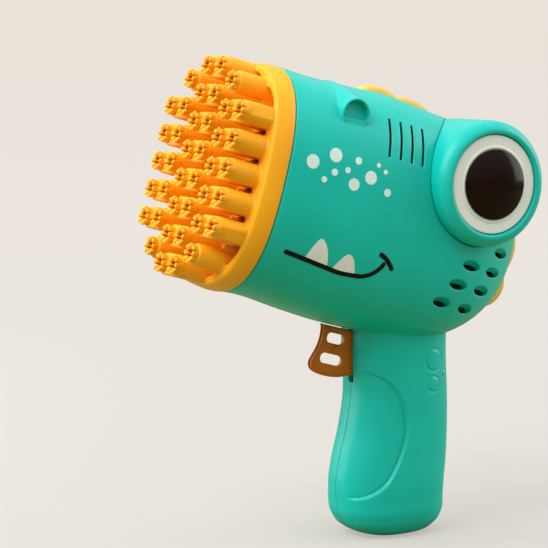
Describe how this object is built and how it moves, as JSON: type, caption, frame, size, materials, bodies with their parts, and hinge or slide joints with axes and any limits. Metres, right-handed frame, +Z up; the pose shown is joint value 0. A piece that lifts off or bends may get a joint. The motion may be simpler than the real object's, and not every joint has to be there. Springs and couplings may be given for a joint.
{
  "type": "bubble blower toy",
  "caption": "Hand-held toy bubble blower shaped like a dinosaur's head: clustered flower-tipped nozzle, goggle eyes, upright battery handle and trigger.",
  "frame": {"origin": "middle of the flat foot under the handle, where the toy stands", "axes": "+Z up along the handle, muzzle towards -Y, +X is the toy's left side"},
  "size_m": [0.096, 0.1718, 0.2029],
  "materials": {
    "teal_shell": "satin moulded ABS",
    "yellow_nozzle": "satin moulded ABS",
    "yellow_crest": "satin moulded ABS",
    "white_gloss": "satin printed white",
    "black_gloss": "high gloss",
    "amber_trigger": "satin moulded ABS",
    "natural_plastic": "as moulded",
    "seal_rubber": "foamed",
    "black_plastic": "as moulded",
    "tray_plastic": "as moulded",
    "cell_jacket": "printed jacket",
    "spring_steel": "nickel plated",
    "motor_steel": "zinc plated",
    "screw_steel": "zinc plated",
    "wire_red": "PVC sleeve",
    "wire_black": "PVC sleeve"
  },
  "bodies": {
    "casing": {"shell_left": "teal_shell", "shell_right": "teal_shell", "nozzle": "yellow_nozzle", "nozzle_seal": "seal_rubber", "air_duct": "natural_plastic", "fan_housing": "natural_plastic", "motor": "motor_steel", "motor_screw_1": "screw_steel", "motor_screw_2": "screw_steel", "crest_top": "yellow_crest", "crest_rear": "yellow_crest", "eye_pod_left": "teal_shell", "eye_pod_right": "teal_shell", "eye_white_left": "white_gloss", "eye_white_right": "white_gloss", "pupil_left": "black_gloss", "pupil_right": "black_gloss", "switch_body": "black_plastic", "battery_tray": "tray_plastic", "battery_1": "cell_jacket", "battery_2": "cell_jacket", "battery_3": "cell_jacket", "battery_4": "cell_jacket", "contact_spring_1": "spring_steel", "contact_spring_2": "spring_steel", "contact_spring_3": "spring_steel", "contact_spring_4": "spring_steel", "contact_bottom_front": "spring_steel", "contact_bottom_back": "spring_steel", "contact_top_link": "spring_steel", "contact_top_front": "spring_steel", "contact_top_back": "spring_steel", "wire_battery": "wire_red", "wire_motor": "wire_red", "wire_return": "wire_black", "trigger_spring": "spring_steel", "shell_screw_1": "screw_steel", "shell_screw_2": "screw_steel", "shell_screw_3": "screw_steel", "shell_screw_4": "screw_steel", "shell_screw_5": "screw_steel", "shell_screw_6": "screw_steel"},
    "trigger": {"trigger": "amber_trigger"},
    "switch_plunger": {"switch_plunger": "natural_plastic"},
    "impeller": {"impeller": "natural_plastic", "motor_shaft": "motor_steel"},
    "battery_cover": {"battery_cover": "teal_shell", "battery_cover_screw": "screw_steel"}
  },
  "joints": [
    {"name": "trigger_pull", "type": "slide", "parent": "casing", "child": "trigger", "axis": [0, 0.9636, -0.2672], "range_m": [0, 0.007], "stiffness_N_per_m": 400, "springref_m": -0.003, "deforming": ["trigger_spring"]},
    {"name": "switch_press", "type": "slide", "parent": "casing", "child": "switch_plunger", "axis": [0, 0.9636, -0.2672], "range_m": [0, 0.007]},
    {"name": "fan_spin", "type": "hinge", "parent": "casing", "child": "impeller", "pos_m": [0, -0.02465, 0.14049], "axis": [0, 0.9636, -0.2672], "continuous": true},
    {"name": "battery_cover_lift", "type": "slide", "parent": "casing", "child": "battery_cover", "axis": [-1, 0, 0], "range_m": [0, 0.03]}
  ],
  "couplings": [
    {"joint": "switch_press", "follows": "trigger_pull", "ratio": 1}
  ]
}
